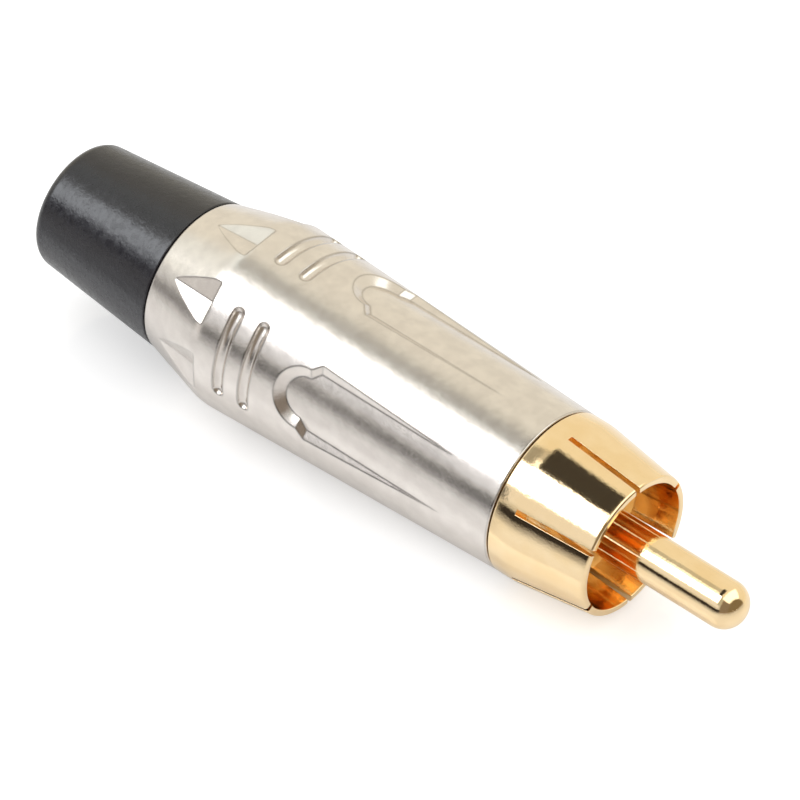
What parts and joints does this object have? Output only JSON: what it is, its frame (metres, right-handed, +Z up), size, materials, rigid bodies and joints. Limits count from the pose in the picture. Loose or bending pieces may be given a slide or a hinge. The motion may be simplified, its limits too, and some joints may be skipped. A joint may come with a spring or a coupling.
{
  "type": "phono plug",
  "caption": "Solderable phono plug with gold-plated slotted ring and pin, a satin nickel shell with grip windows, and a black cable boot.",
  "frame": {"origin": "centre of the bounding box's bottom, on the plane the plug lies on", "axes": "+X from the boot towards the pin, +Z up as the plug lies on its side; the plug's own axis dips 2.4 degrees towards the pin"},
  "size_m": [0.0558, 0.0132, 0.0134],
  "materials": {
    "gold_plate": "polished gold plate over brass",
    "satin_nickel": "pearly satin nickel plate over a die casting",
    "black_plastic": "matte, fine grain",
    "white_insulator": "smooth, waxy",
    "clear_sleeve": "smooth"
  },
  "bodies": {
    "root": {"centre_pin": "gold_plate", "contact_ring": "gold_plate", "front_insulator": "white_insulator", "rear_insulator": "white_insulator", "ground_lug": "gold_plate", "insulating_sleeve": "clear_sleeve", "shell": "satin_nickel", "cable_chuck": "black_plastic", "boot": "black_plastic"}
  },
  "joints": []
}
